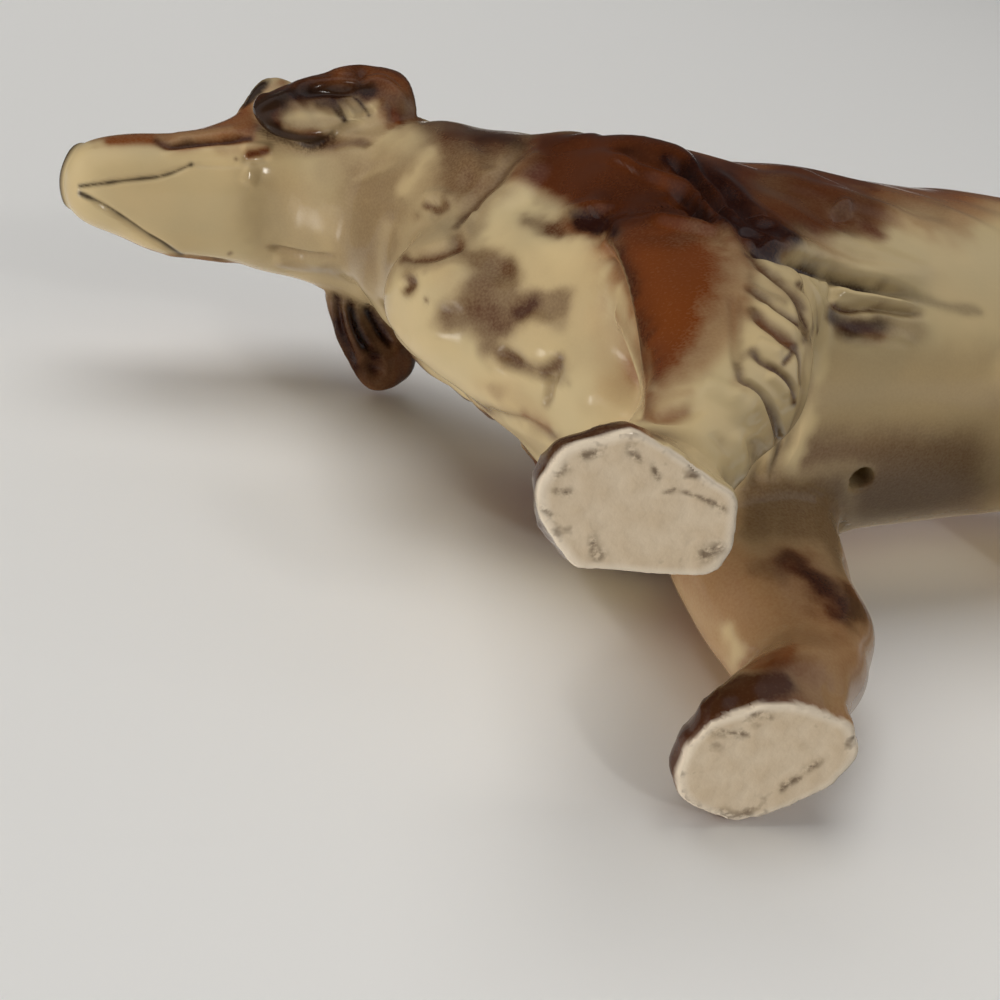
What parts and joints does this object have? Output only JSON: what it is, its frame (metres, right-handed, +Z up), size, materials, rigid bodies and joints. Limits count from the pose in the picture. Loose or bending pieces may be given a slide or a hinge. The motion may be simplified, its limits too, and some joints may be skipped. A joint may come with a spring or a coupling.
{
  "type": "porcelain dog figurine",
  "caption": "Glazed porcelain figurine of a long-coated collie at a walk: hollow cast body and head, solid legs on flat bare soles.",
  "frame": {"origin": "on the table, under the middle of the figurine's box, level with the soles", "axes": "+X towards the nose, +Y to the dog's left, +Z up"},
  "size_m": [0.1612, 0.0502, 0.1229],
  "materials": {
    "glazed_cream": "gloss",
    "glazed_brown": "gloss",
    "glazed_dark": "gloss"
  },
  "bodies": {
    "root": {"torso": "glazed_cream", "head": "glazed_cream", "left_ear": "glazed_dark", "right_ear": "glazed_brown", "left_foreleg": "glazed_cream", "right_foreleg": "glazed_cream", "left_hind_leg": "glazed_cream", "right_hind_leg": "glazed_cream", "tail": "glazed_brown"}
  },
  "joints": []
}
